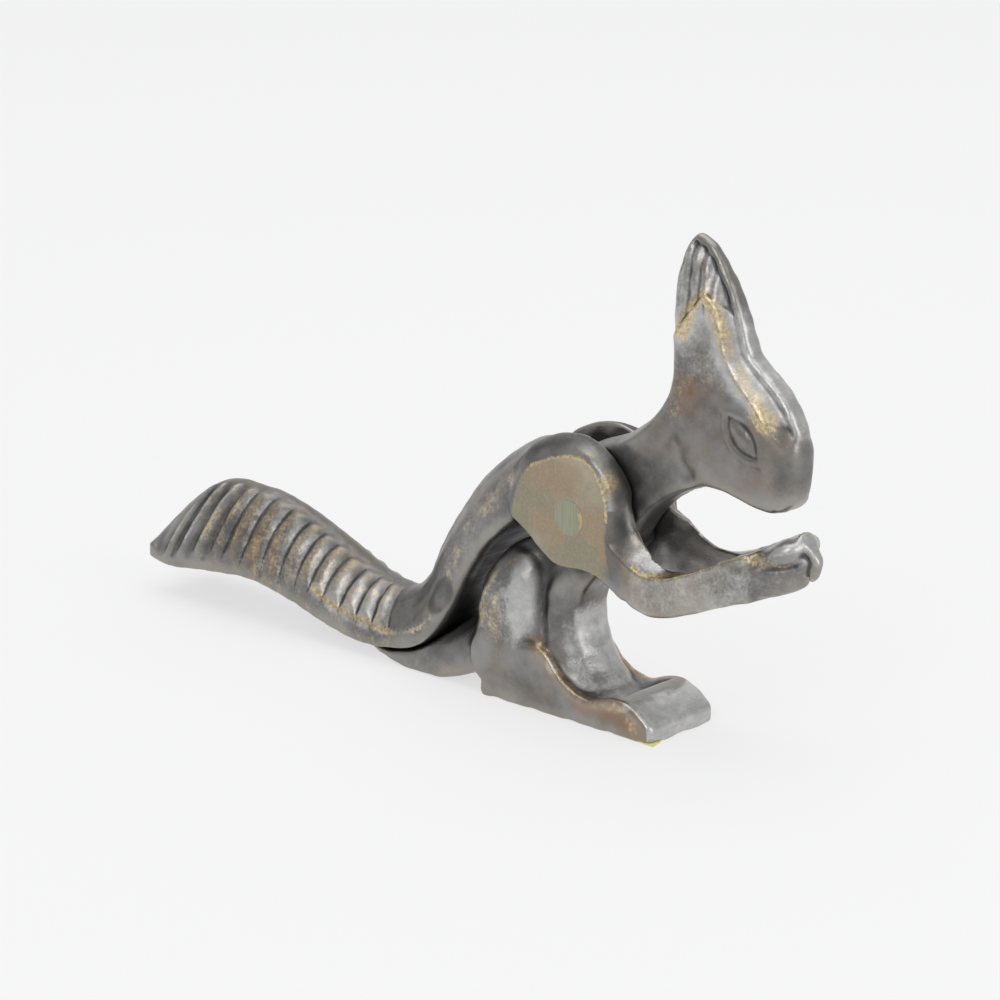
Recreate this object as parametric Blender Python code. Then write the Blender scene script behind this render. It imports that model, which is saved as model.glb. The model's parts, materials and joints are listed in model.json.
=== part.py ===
"""Squirrel nutcracker: two cast levers that turn on one pin through the shoulders.

The body lever is the head, neck, torso, haunches, feet and the lower tail. The arm lever is the
two arms with their clasped hands, the shoulders, the back and the upper tail, which nests over the
lower tail. A nut is held between the chin and the palms, and the two tails are squeezed together.

Frame: the squirrel faces +X, the pivot axis runs along Y, +Z is up. The origin is the middle of the
bounding box's underside, on the table. Outlines are side views: lists of (x, z) in millimetres,
with x measured forward from the pivot axis and z measured up from the table.
"""

import math

import bmesh
import bpy
from mathutils import Vector

MM = 0.001

# Driving dimensions, in millimetres
PIVOT_HEIGHT = 41.0  # pivot axis above the table
PIVOT_FORWARD = 34.4  # pivot axis ahead of the bounding box's middle
HALF_WIDTH = 10.0  # from the middle plane to a ground shoulder face, and to the side of a foot
ARM_INNER = 4.9  # from the middle plane to an arm's inner face
CORE_HALF = 4.5  # half the thickness of the head and neck, which lie between the arms
TORSO_HALF = 4.4
BELLY_HALF = 6.8  # half the thickness of the belly, below the arms
PIN_RADIUS = 3.5
PIN_GAP = 0.3  # radial room round the pin
NEST_GAP = 0.5  # room between the lower tail and the groove that holds it
TAIL_CORE_HALF = 4.4  # half the width of the lower tail where it lies in the groove
LABEL_THICKNESS = 0.3  # paper label under the feet
PLATE_RIM = 1.3  # rounding of the head's, torso's and belly's side-view edges
SHOULDER_RIM = 1.8  # rounding round a shoulder's ground face
FOOT_RIM = 0.5
INSTEP_HALF = 3.6  # half the width of the hollow between the feet

# Body lever, side views
HEAD_AND_NECK = [
    (23.5, 97.9), (26.2, 96.4), (29.2, 92.2), (31.8, 87.6), (33.8, 82.8), (35.8, 77.4), (38.9, 74.6),
    (42.3, 71.8), (45.2, 68.6), (47.3, 65.0), (48.1, 61.0), (48.1, 56.0), (47.5, 52.2), (45.2, 49.6),
    (41.4, 49.1), (37.4, 49.8), (32.8, 51.0), (27.5, 50.9), (22.0, 48.7), (16.6, 45.4), (12.6, 41.4),
    (9.4, 36.8), (4.0, 32.0), (-4.0, 31.5), (-9.0, 35.5), (-11.0, 41.0), (-9.6, 46.6), (-5.6, 51.4),
    (0.5, 54.2), (7.0, 56.4), (12.1, 59.9), (16.0, 63.8), (18.4, 68.1), (19.1, 72.6), (18.9, 78.0),
    (18.6, 84.0), (18.9, 89.0), (20.2, 93.6), (21.8, 96.8),
]
TORSO = [
    (9.0, 36.5), (3.5, 30.0), (-0.8, 24.6), (-1.8, 19.0), (-0.8, 13.6), (1.8, 8.6), (4.0, 3.0),
    (-10.0, 1.2), (-24.0, 2.4), (-27.2, 8.0), (-27.6, 14.0), (-26.4, 19.6), (-23.6, 25.0),
    (-19.4, 29.8), (-14.0, 33.4), (-9.0, 36.0),
]
BELLY = [
    (-1.4, 20.8), (-0.4, 16.6), (0.9, 12.2), (3.2, 8.4), (5.2, 5.6), (4.0, 2.0), (-16.0, 1.2),
    (-18.0, 12.0), (-12.0, 19.4), (-6.6, 22.0), (-3.4, 22.6),
]
FOOT = [
    (-21.2, 0.6), (-22.6, 3.8), (-24.6, 7.0), (-24.4, 9.2), (-20.6, 10.6), (-14.0, 12.3), (-8.6, 13.3),
    (-5.2, 10.6), (-1.6, 7.6), (2.4, 5.7), (6.0, 5.5), (9.6, 6.9), (12.6, 7.0), (14.6, 6.3),
    (17.6, 3.8), (19.8, 2.0), (20.0, 0.6), (0.0, 0.6),
]

INSTEP = [(-1.0, 12.0), (0.5, 6.0), (5.0, 3.8), (11.6, 3.8), (12.2, 12.0)]
# Swellings of the body lever: centre and radii
CHEEKS = ((36.5, 0.0, 61.0), (9.6, 6.2, 9.4))
HAUNCHES = ((-15.4, 0.0, 17.4), (10.0, 9.4, 12.6))

# Upper tail and back: the underside point and the crown point of each section, and its half width
BACK_AND_TAIL = [
    ((-12.6, 41.0), (-8.6, 55.6), 8.6), ((-16.6, 36.4), (-14.6, 53.0), 9.0),
    ((-20.4, 33.0), (-21.4, 47.8), 9.2), ((-24.0, 29.0), (-28.2, 40.8), 9.2),
    ((-28.0, 23.2), (-34.0, 32.8), 9.2), ((-31.2, 17.6), (-38.4, 25.8), 9.2),
    ((-34.2, 12.6), (-42.2, 20.2), 9.2), ((-37.8, 8.3), (-45.8, 16.4), 9.2),
    ((-42.2, 5.1), (-49.6, 14.4), 9.3), ((-47.4, 3.6), (-53.4, 13.8), 9.3),
    ((-53.6, 2.7), (-57.6, 14.0), 9.3), ((-60.4, 2.9), (-62.4, 15.3), 9.3),
    ((-68.2, 4.7), (-69.0, 18.2), 9.3), ((-76.2, 6.8), (-76.2, 21.3), 9.3),
    ((-84.0, 8.5), (-83.2, 23.9), 9.3), ((-91.2, 9.0), (-90.2, 25.7), 9.3),
    ((-97.6, 8.8), (-96.6, 26.7), 9.3), ((-103.4, 8.4), (-102.2, 26.9), 9.3),
    ((-109.0, 7.8), (-107.8, 24.9), 9.2), ((-113.8, 7.6), (-113.0, 21.5), 8.9),
    ((-117.4, 7.7), (-117.4, 17.4), 7.8), ((-120.0, 8.8), (-120.6, 13.2), 5.4),
]
SIDE_STRIP = 0.3  # share of a tail section's height that is its flat side

# Lower tail: underside height, top height and half width at each distance behind the pivot
TAIL_ROOT = [
    (-20.0, 5.6, 19.6, 9.2), (-24.0, 4.8, 17.4, 9.2), (-28.0, 3.4, 14.4, 9.2), (-32.0, 1.7, 11.6, 9.2),
    (-36.0, 0.7, 8.4, 9.1), (-40.0, 0.2, 5.5, 9.0), (-44.0, 0.1, 3.7, 9.0), (-48.0, 0.5, 2.8, 8.8),
    (-52.0, 1.0, 2.3, 8.0), (-56.5, 1.5, 2.1, 6.8),
]
TAIL_CORE = [
    (-22.0, 4.0, 14.0), (-30.0, 2.4, 8.0), (-38.0, 0.8, 6.4), (-46.0, 0.7, 6.6), (-54.0, 1.3, 7.2),
    (-62.0, 2.4, 8.4), (-70.0, 4.2, 10.4), (-78.0, 5.8, 12.0), (-86.0, 6.8, 12.8),
    (-94.0, 7.0, 12.6), (-102.0, 6.5, 11.6), (-108.0, 6.2, 9.6),
]

# Arm lever
SHOULDER = [
    (-17.0, 41.0), (-16.4, 46.2), (-14.2, 50.6), (-9.6, 53.8), (-4.0, 55.6), (1.0, 55.7), (5.4, 54.0),
    (8.9, 51.2), (11.2, 48.0), (11.8, 44.0), (12.8, 41.2), (15.0, 37.8), (19.0, 34.6), (19.0, 26.2),
    (14.8, 26.8), (10.4, 29.4), (7.0, 30.7), (3.4, 31.2), (-2.8, 31.0), (-6.4, 32.6), (-11.2, 36.2),
    (-15.0, 38.6),
]
# Forearm and hand: x, underside height, top height, inner and outer distance from the middle plane
FOREARM = [
    (13.2, 28.6, 37.6, 5.2, 9.8), (17.0, 26.0, 35.3, 6.0, 9.8), (21.0, 25.7, 34.4, 6.4, 9.8),
    (25.0, 26.6, 35.0, 6.2, 9.8), (29.4, 28.2, 36.6, 5.2, 9.5), (33.4, 29.9, 38.4, 3.4, 8.9),
    (37.2, 31.4, 40.1, 1.6, 7.9), (41.0, 32.6, 41.5, -0.6, 6.8), (44.6, 33.7, 43.0, -0.7, 5.7),
    (47.6, 35.1, 44.9, -0.8, 4.8), (49.8, 36.5, 44.2, -0.7, 4.0), (51.8, 39.0, 41.8, -0.6, 3.2),
]
# Paper label, seen from above: one corner shows in front of the feet
LABEL = [(9.0, 3.0), (11.0, -9.2), (21.4, -9.8), (18.4, 3.0)]
SPLINE_STEPS = 2  # points for each stretch of a smooth outline


def clear_scene():
    """Remove everything that a new file starts with."""
    for item in list(bpy.data.objects):
        bpy.data.objects.remove(item, do_unlink=True)


def material(name, colour, roughness, metallic):
    """A plain Principled material with one colour."""
    made = bpy.data.materials.new(name)
    made.use_nodes = True
    shader = made.node_tree.nodes["Principled BSDF"]
    shader.inputs["Base Color"].default_value = (*colour, 1.0)
    shader.inputs["Roughness"].default_value = roughness
    shader.inputs["Metallic"].default_value = metallic
    return made


def place(x, y, z):
    """A point in millimetres, from the pivot axis and the table, in the pivot's own frame in metres."""
    return Vector((x * MM, y * MM, (z - PIVOT_HEIGHT) * MM))


def smooth_loop(points, steps=SPLINE_STEPS):
    """A closed Catmull-Rom curve through the points."""
    count = len(points)
    curve = []
    for i in range(count):
        p0, p1, p2, p3 = (Vector(points[(i + k - 1) % count]) for k in range(4))
        for step in range(steps):
            t = step / steps
            curve.append(0.5 * (2 * p1 + (p2 - p0) * t + (2 * p0 - 5 * p1 + 4 * p2 - p3) * t**2
                                + (3 * p1 - p0 - 3 * p2 + p3) * t**3))
    return curve


def inset(loop, distance):
    """The closed side-view loop moved inwards by the distance."""
    count = len(loop)
    area = sum(loop[i - 1].cross(loop[i]) for i in range(count))
    turn = 1.0 if area > 0 else -1.0
    moved = []
    for i in range(count):
        along = (loop[(i + 1) % count] - loop[i - 1]).normalized()
        moved.append(loop[i] + turn * distance * Vector((-along.y, along.x)))
    return moved


def skin(name, rings):
    """A closed body through rings of equal length, with a face across each end."""
    mesh = bmesh.new()
    loops = [[mesh.verts.new(point) for point in ring] for ring in rings]
    count = len(loops[0])
    for near, far in zip(loops, loops[1:]):
        for i in range(count):
            j = (i + 1) % count
            mesh.faces.new((near[i], near[j], far[j], far[i]))
    mesh.faces.new(loops[0])
    mesh.faces.new(loops[-1])
    bmesh.ops.recalc_face_normals(mesh, faces=mesh.faces)
    data = bpy.data.meshes.new(name)
    mesh.to_mesh(data)
    mesh.free()
    body = bpy.data.objects.new(name, data)
    bpy.context.scene.collection.objects.link(body)
    return body


def plate(name, outline, y_low, y_high, rim_low=0.0, rim_high=0.0, steps=SPLINE_STEPS):
    """A side-view outline given thickness along Y, with each rim rounded over in three steps."""
    loop = smooth_loop(outline, steps)
    levels = []
    for y_end, rim, inward in ((y_low, rim_low, 1.0), (y_high, rim_high, -1.0)):
        end = []
        for step in range(4 if rim else 1):
            angle = math.radians(30 * step)
            end.append((rim * (1 - math.sin(angle)), y_end + inward * rim * (1 - math.cos(angle))))
        levels += end if inward > 0 else end[::-1]
    rings = [[place(p.x, y, p.y) for p in inset(loop, cut)] for cut, y in levels]
    return skin(name, rings)


def ellipsoid(name, centre, radii):
    """An ellipsoid at a point, in millimetres."""
    mesh = bmesh.new()
    bmesh.ops.create_uvsphere(mesh, u_segments=20, v_segments=12, radius=1.0)
    middle = place(*centre)
    for vertex in mesh.verts:
        vertex.co = middle + Vector([c * r * MM for c, r in zip(vertex.co, radii)])
    data = bpy.data.meshes.new(name)
    mesh.to_mesh(data)
    mesh.free()
    body = bpy.data.objects.new(name, data)
    bpy.context.scene.collection.objects.link(body)
    return body


def rod(name, radius, half_length, segments=32):
    """A cylinder on the pivot axis."""
    rings = []
    for y in (-half_length, half_length):
        turns = (2 * math.pi * k / segments for k in range(segments))
        rings.append([Vector((radius * math.cos(a), y, radius * math.sin(a))) * MM for a in turns])
    return skin(name, rings)


def combine(body, tools, operation):
    """Join the tools to the body, or cut them from it, and remove them."""
    for tool in tools:
        step = body.modifiers.new(operation, "BOOLEAN")
        step.operation = operation
        step.solver = "EXACT"
        step.object = tool
        evaluated = body.evaluated_get(bpy.context.evaluated_depsgraph_get())
        result = bpy.data.meshes.new_from_object(evaluated)
        body.modifiers.remove(step)
        body.data = result
        bpy.data.objects.remove(tool, do_unlink=True)
    return body


def tail_ring(under, crown, half, grow=0.0):
    """One section of the back and upper tail: a flat underside, upright sides and a round crown."""
    low = Vector(under)
    rise = Vector(crown) - low
    ring = [(-half, 0.0), (half, 0.0)]
    for step in range(9):
        angle = math.pi * step / 8
        ring.append((half * math.cos(angle), SIDE_STRIP + (1 - SIDE_STRIP) * math.sin(angle)))
    points = []
    for y, share in ring:
        side = low + rise * share
        points.append(place(side.x, y, side.y))
    return points


def bar_ring(x, low, high, half, corner):
    """One upright section of the lower tail: a rectangle with its corners cut off."""
    shape = [
        (-half, low + corner), (-half + corner, low), (half - corner, low), (half, low + corner),
        (half, high - corner), (half - corner, high), (-half + corner, high), (-half, high - corner),
    ]
    return [place(x, y, z) for y, z in shape]


def arm_ring(x, low, high, inner, outer, side):
    """One upright section of a forearm: rounded below, with a sharp ridge at its outer top edge."""
    cut = min(1.6, 0.3 * (high - low))
    shape = [
        (inner, low + cut), (inner + 1.4, low + 0.1 * cut), (outer - 2.0, low),
        (outer - 0.4, low + 0.8 * cut), (outer, (low + high) / 2), (outer - 0.5, high - 0.3 * cut),
        (outer - 1.2, high), (inner + 0.8, high - 0.4 * cut), (inner, high - cut),
    ]
    ring = [place(x, side * y, z) for y, z in shape]
    return ring if side > 0 else ring[::-1]


def lower_tail_core(name, gap):
    """The part of the lower tail that lies in the upper tail's groove, grown all round by the gap."""
    rings = []
    for x, low, high in TAIL_CORE:
        rings.append(bar_ring(x, low - gap, high + gap, TAIL_CORE_HALF + gap, 1.0))
    if gap:
        x, low, high = TAIL_CORE[-1]
        rings.append(bar_ring(x - gap - 0.4, low - gap, high + gap, TAIL_CORE_HALF + gap, 1.0))
    return skin(name, rings)


def make_body_lever():
    """Head, neck, torso, haunches, feet and lower tail, in one casting."""
    body = plate("body_lever", HEAD_AND_NECK, -CORE_HALF, CORE_HALF, PLATE_RIM, PLATE_RIM)
    additions = [
        plate("torso", TORSO, -TORSO_HALF, TORSO_HALF, PLATE_RIM, PLATE_RIM),
        plate("belly", BELLY, -BELLY_HALF, BELLY_HALF, PLATE_RIM, PLATE_RIM),
        plate("feet", FOOT, -HALF_WIDTH, HALF_WIDTH, FOOT_RIM, FOOT_RIM),
        ellipsoid("cheeks", *CHEEKS),
        ellipsoid("haunches", *HAUNCHES),
        skin("tail_root", [bar_ring(*section, 0.3) for section in TAIL_ROOT]),
        lower_tail_core("tail_core", 0.0),
    ]
    combine(body, additions, "UNION")
    instep = plate("instep", INSTEP, -INSTEP_HALF, INSTEP_HALF, steps=1)
    bore = rod("bore", PIN_RADIUS + PIN_GAP, HALF_WIDTH + 1)
    return combine(body, [instep, bore], "DIFFERENCE")


def make_arm_lever():
    """Both arms with their hands, the shoulders, the back and the upper tail, in one casting."""
    rings = [tail_ring(*section) for section in BACK_AND_TAIL]
    body = skin("arm_lever", rings)
    additions = []
    for side in (-1, 1):
        faces = sorted((side * ARM_INNER, side * HALF_WIDTH))
        rims = (SHOULDER_RIM, 0.0) if side < 0 else (0.0, SHOULDER_RIM)
        additions.append(plate("shoulder", SHOULDER, *faces, *rims))
        additions.append(skin("forearm", [arm_ring(*section, side) for section in FOREARM]))
    combine(body, additions, "UNION")
    bore = rod("bore", PIN_RADIUS + PIN_GAP, HALF_WIDTH + 1)
    return combine(body, [lower_tail_core("groove", NEST_GAP), bore], "DIFFERENCE")


def make_label():
    """A scrap of paper label stuck under the feet, one corner of it showing in front."""
    rings = [[place(x, y, z) for x, y in LABEL] for z in (0.0, LABEL_THICKNESS)]
    return skin("sole_label", rings)


def main():
    """Build every piece and set it on the table."""
    clear_scene()
    bronze = material("patinated_bronze", (0.16, 0.13, 0.10), 0.38, 0.9)
    steel = material("pin_metal", (0.30, 0.30, 0.24), 0.35, 0.9)
    paper = material("label_paper", (0.75, 0.70, 0.30), 0.8, 0.0)
    pieces = [
        (make_body_lever(), bronze),
        (make_arm_lever(), bronze),
        (rod("pivot_pin", PIN_RADIUS, HALF_WIDTH, 40), steel),
        (make_label(), paper),
    ]
    pivot = bpy.data.objects.new("pivot_axis", None)
    pivot.location = (PIVOT_FORWARD * MM, 0.0, PIVOT_HEIGHT * MM)
    bpy.context.scene.collection.objects.link(pivot)
    for piece, finish in pieces:
        piece.data.materials.clear()
        piece.data.materials.append(finish)
        piece.data.shade_smooth()
        piece.data.set_sharp_from_angle(angle=math.radians(35))
        piece.parent = pivot


main()
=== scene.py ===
"""Squirrel nutcracker in cast, patinated bronze: two levers sculpted as signed fields.

Each casting is a field in millimetres, negative inside the metal, and is skinned by surface nets.
Side views are lists of (x, z), with x measured forward from the pivot axis and z up from the table.
"""

import json
import math

import bpy
import numpy as np
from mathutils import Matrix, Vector


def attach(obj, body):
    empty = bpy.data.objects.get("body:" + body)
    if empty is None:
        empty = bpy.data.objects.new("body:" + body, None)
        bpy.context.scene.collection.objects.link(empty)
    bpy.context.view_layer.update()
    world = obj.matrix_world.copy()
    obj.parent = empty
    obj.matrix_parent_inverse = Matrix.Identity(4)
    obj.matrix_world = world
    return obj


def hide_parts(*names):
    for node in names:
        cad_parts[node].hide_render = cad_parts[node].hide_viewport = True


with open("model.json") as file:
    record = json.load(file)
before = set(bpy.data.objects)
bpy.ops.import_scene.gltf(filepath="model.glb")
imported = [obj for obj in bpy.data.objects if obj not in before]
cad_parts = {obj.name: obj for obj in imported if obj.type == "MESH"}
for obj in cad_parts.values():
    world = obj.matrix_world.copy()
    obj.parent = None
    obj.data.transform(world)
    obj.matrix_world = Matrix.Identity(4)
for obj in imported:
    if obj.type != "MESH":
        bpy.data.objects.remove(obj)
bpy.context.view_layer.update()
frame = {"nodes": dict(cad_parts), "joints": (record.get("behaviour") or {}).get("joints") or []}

MM = 0.001
PIVOT_X = frame["joints"][0]["pos_m"][0] / MM
PIVOT_Z = frame["joints"][0]["pos_m"][2] / MM
COARSE = 1.0

HALF_WIDTH = 10.0
ARM_FACE = 9.95
ARM_INNER = 4.9
PIN_RADIUS = 3.5
PIN_HOLE = 3.7
NEST_GAP = 0.5
CORE_HALF = 4.4
FLOOR_CUT = 0.08  # the soles are trimmed this far above the table, so that waviness stays above it
LOCK_HALF_WIDTH = 9.4

# Head and neck, four stretches of one outline
FRONT = [
    (23.5, 97.9), (26.6, 96.4), (29.8, 92.5), (32.5, 87.8), (34.6, 83), (36.6, 77.7), (39.4, 75),
    (42.8, 72.2), (45.7, 68.9), (47.7, 65.1), (48.4, 61), (48.4, 56), (47.7, 52.2),
]
UNDER = [
    (47.7, 52.2), (45.3, 49.5), (41.4, 49), (37.4, 49.8), (32.8, 51), (27.5, 50.9), (22, 48.7),
    (16.6, 45.4), (12.6, 41.4), (9.4, 36.8),
]
HUB = [(9.4, 36.8), (4, 32), (-4, 31.5), (-9, 35.5), (-11, 41), (-9.6, 46.6), (-5.6, 51.4)]
NAPE = [
    (-5.6, 51.4), (0.5, 54.6), (6.8, 57.1), (11.7, 60.3), (15.6, 64.1), (18.1, 68.2), (19, 72.6),
    (18.9, 78), (18.6, 84), (18.9, 89), (20.2, 93.6), (21.8, 96.8), (23.5, 97.9),
]
TORSO = [
    (9, 36.5), (3.3, 30), (-1.2, 24.6), (-2.6, 19), (-1.7, 13.6), (1, 8.6), (4, 3),
    (-10, 1.2), (-24, 2.4), (-27.2, 8), (-27.6, 14), (-26.4, 19.6), (-23.6, 25),
    (-19.4, 29.8), (-14, 33.4), (-9, 36),
]
BELLY = [
    (2.4, 29.4), (-0.9, 25), (-2, 20.8), (-1.5, 16.6), (-0.1, 12.2), (2.3, 8.4), (5, 5.6),
    (6.4, 3), (-16, 1.2), (-18, 12), (-13, 20), (-8, 26), (-3, 30),
]
FOOT = [
    (-21, -0.3), (-22.3, 3.4), (-24.4, 7), (-24.4, 9.2), (-20.6, 10.6), (-14, 12.3), (-8.6, 13.3),
    (-5.4, 11.4), (-2.4, 8), (1, 6), (4.8, 5.3), (8.6, 6.5), (11.6, 7.2), (14.2, 6.9),
    (17, 5.7), (19.4, 3.9), (20.8, 2.2), (20.9, -0.3), (0, -0.4),
]
# Lower tail: distance behind the pivot, underside height, top height, half width
TAIL_ROOT = [
    (-20, 5.2, 19.6, 9.4), (-24, 4.2, 17.4, 9.4), (-28, 2.6, 14.6, 9.4), (-32, 1.1, 11.8, 9.4),
    (-36, 0.3, 8.6, 9.3), (-40, 0.1, 5.7, 9.2), (-44, 0.1, 3.8, 9), (-48, 0.5, 2.9, 8.8),
    (-52, 1, 2.4, 8), (-56.5, 1.5, 2.2, 6.8),
]
TAIL_CORE = [
    (-22, 4, 14), (-30, 2.4, 8), (-38, 0.8, 6.4), (-46, 0.7, 6.6), (-54, 1.3, 7.2),
    (-62, 2.4, 8.4), (-70, 4.2, 10.4), (-78, 5.8, 12), (-86, 6.8, 12.8), (-94, 7, 12.6),
    (-102, 6.5, 11.6), (-108, 6.2, 9.6),
]

# Arm lever
SHOULDER = [
    (-17, 41), (-16.4, 46.2), (-14.2, 50.8), (-9.8, 54.2), (-4.4, 56.1), (0.8, 56.2), (5.4, 54.4),
    (8.9, 51.4), (11.2, 48), (11.8, 44), (12.8, 41.2), (15, 37.8), (19, 34.6), (19, 26.2),
    (14.8, 26.8), (10.4, 29.4), (7, 30.7), (3.4, 31.2), (-2.8, 31), (-6.4, 32.6), (-11.2, 36.2),
    (-15, 38.6),
]
GROUND_FLAT = [
    (-14.5, 38.8), (-13.8, 43.4), (-12.1, 47.3), (-9.6, 49.7), (-4.8, 51.9), (0.1, 53.2), (3.3, 53.1),
    (5.7, 51.8), (7.9, 48.6), (9, 45.2), (9.2, 41.5), (9, 38), (10, 33), (12.5, 27),
    (7, 28.5), (-2.8, 28.5), (-6.8, 31), (-11.4, 35.4),
]
# Forearm: x, underside, outer ridge, inner top edge, inner and outer half width
FOREARM = [
    (8, 30.4, 38, 42, 4.9, 10), (12, 28.2, 36.2, 41, 5.2, 10),
    (15, 26.4, 34.4, 38.6, 6, 10), (18, 25.5, 33.4, 36.4, 6.6, 10),
    (21.5, 25.5, 33.5, 35, 6.8, 10), (25, 26.4, 34.5, 34.8, 6.4, 9.9),
    (29.4, 27.9, 36.3, 35.8, 5.4, 9.5), (33.4, 29.6, 38.3, 37.6, 3.6, 8.8),
    (37.2, 31, 40.1, 39.6, 1.8, 7.8), (41, 32.2, 41.5, 41.2, -1.5, 6.7),
    (45, 33.6, 43.4, 43.2, -1.5, 5.3),
]
# Joined hands: x, underside, top and half width
HAND = [
    (36, 30.8, 39.6, 8.1), (38.6, 31.6, 40.6, 7.4), (41, 32.2, 41.7, 6.6), (43.6, 32.9, 43, 5.7),
    (46, 33.9, 44.4, 4.6), (48, 35, 45.9, 3.4), (49.6, 36, 47, 2.1), (51, 37, 47.6, 1.4),
    (52.2, 38.2, 47.8, 1), (53.4, 39.9, 48, 0.8),
]
HAND_GROOVE = [(46.9, 46.2), (48.6, 43.6), (50.4, 41.2), (50.4, 39.6), (49.4, 36.4)]
THUMB_GROOVE = [(44.4, 39.2), (46.4, 39.5), (48.6, 40.1)]
# Back and upper tail: underside point, crown point, half width and the flat side's share of the height
BACK_AND_TAIL = [
    ((-12.6, 41), (-10.4, 52.9), 9.2, 0.58), ((-16.6, 36.6), (-15.2, 52.3), 9.3, 0.50),
    ((-20.4, 33.1), (-21.8, 48.4), 9.3, 0.42), ((-24.2, 29), (-29.2, 42), 9.3, 0.38),
    ((-28, 23.2), (-35.4, 34.1), 9.2, 0.36), ((-31.2, 17.6), (-39.9, 27), 9.2, 0.36),
    ((-34.2, 12.6), (-43, 20.6), 9.2, 0.34), ((-37.8, 8.3), (-46.3, 16.6), 9.3, 0.32),
    ((-42.2, 5.1), (-49.9, 14.5), 9.3, 0.30), ((-47.4, 3.7), (-53.2, 14.2), 9.3, 0.30),
    ((-53.6, 2.8), (-57.2, 14.8), 9.3, 0.33), ((-60.4, 3), (-62, 16.3), 9.3, 0.34),
    ((-68.2, 4.7), (-68.6, 19.3), 9.4, 0.30), ((-76.2, 6.8), (-75.6, 22.4), 9.6, 0.18),
    ((-84, 8.4), (-82.8, 24.9), 9.6, 0.13), ((-91.2, 9.2), (-89.4, 26.4), 9.5, 0.17),
    ((-97.8, 8.7), (-94.8, 26.6), 9.5, 0.20), ((-103.8, 8.1), (-99.2, 26.9), 9.5, 0.18),
    ((-109.4, 7.4), (-103.6, 26.3), 9.5, 0.18), ((-114.2, 7), (-108.4, 24.2), 9.4, 0.18),
    ((-117.4, 7.1), (-113.4, 20.8), 9.3, 0.20), ((-119.4, 7.3), (-117.6, 17), 9.2, 0.24),
    ((-120.6, 7.6), (-120.6, 12.4), 9, 0.60),
]
# Where the grooves between the tail's locks of fur start, along the tail's underside edge
TAIL_GROOVES = [
    -117.6, -114.6, -109.9, -104.6, -98.5, -92.5, -87, -81.5, -76.8, -72.4, -68, -63, -57.9,
    -52.7, -47.6,
]


# ---- numbers

def ramp(low, high, value):
    """0 below low, 1 above high, smooth between."""
    t = np.clip((value - low) / (high - low), 0, 1)
    return t * t * (3.0 - 2.0 * t)


def meet(a, b, blend):
    """The intersection of two fields, with its edge rounded over about the blend."""
    h = np.maximum(blend - np.abs(a - b), 0) / blend
    return np.maximum(a, b) + h * h * blend * 0.25


def join(a, b, blend):
    """The union of two fields, with the inner corner filled over about the blend."""
    return -meet(-a, -b, blend)


def bell(distance, width):
    """1 at no distance, falling to nothing past about twice the width."""
    return np.exp(-((distance / width) ** 2))


def spline(points, steps=6, closed=False):
    """A Catmull-Rom curve through rows of numbers."""
    rows = np.array(points, float)
    count = len(rows)
    spans = count if closed else count - 1
    curve = []
    for i in range(spans):
        if closed:
            p0, p1, p2, p3 = (rows[(i + k - 1) % count] for k in range(4))
        else:
            p0, p1, p2, p3 = (rows[min(max(i + k - 1, 0), count - 1)] for k in range(4))
        for t in np.linspace(0, 1, steps, endpoint=False):
            curve.append(0.5 * (2 * p1 + (p2 - p0) * t + (2 * p0 - 5 * p1 + 4 * p2 - p3) * t**2
                                + (3 * p1 - p0 - 3 * p2 + p3) * t**3))
    if not closed:
        curve.append(rows[-1])
    return np.array(curve)


def path_gap(path, x, z):
    """Distance in the side view to an open path of points."""
    best = np.full(np.broadcast(x, z).shape, 1e9)
    for a, b in zip(path[:-1], path[1:]):
        along = b - a
        t = np.clip(((x - a[0]) * along[0] + (z - a[1]) * along[1]) / (along @ along), 0, 1)
        gap = (x - a[0] - t * along[0]) ** 2 + (z - a[1] - t * along[1]) ** 2
        np.minimum(best, gap, out=best)
    return np.sqrt(best)


def outline_gap(loop, x, z):
    """Signed distance in the side view to a closed outline, negative inside."""
    inside = np.zeros(np.broadcast(x, z).shape, bool)
    for a, b in zip(loop, np.roll(loop, -1, axis=0)):
        crosses = (a[1] > z) != (b[1] > z)
        if a[1] != b[1]:
            inside ^= crosses & (x < a[0] + (z - a[1]) * (b[0] - a[0]) / (b[1] - a[1]))
    gap = path_gap(np.vstack([loop, loop[:1]]), x, z)
    return np.where(inside, -gap, gap)


def table(rows, x, reverse=False):
    """The columns of a table, read smoothly at x. The first column is x."""
    curve = spline(rows)
    if reverse:
        curve = curve[::-1]
    return [np.interp(x, curve[:, 0], curve[:, k]) for k in range(1, curve.shape[1])]


def unevenness(x, y, z):
    """Slow, slight waviness of a hand-finished casting, in mm."""
    return 0.05 * (np.sin(0.62 * x + 0.9 * z + 1) * np.cos(0.55 * z - 0.7 * y)
                   + 0.6 * np.sin(1.3 * x - 1.1 * z + 0.8 * y))


# ---- body lever

HEAD_LOOP = spline(FRONT[:-1] + UNDER[:-1] + HUB[:-1] + NAPE[:-1], 5, closed=True)
FRONT_PATH = spline(FRONT)
UNDER_PATH = spline(UNDER)
NAPE_PATH = spline(NAPE)
TORSO_LOOP = spline(TORSO, 5, closed=True)
BELLY_LOOP = spline(BELLY, 5, closed=True)
FOOT_LOOP = spline(FOOT, 5, closed=True)

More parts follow.
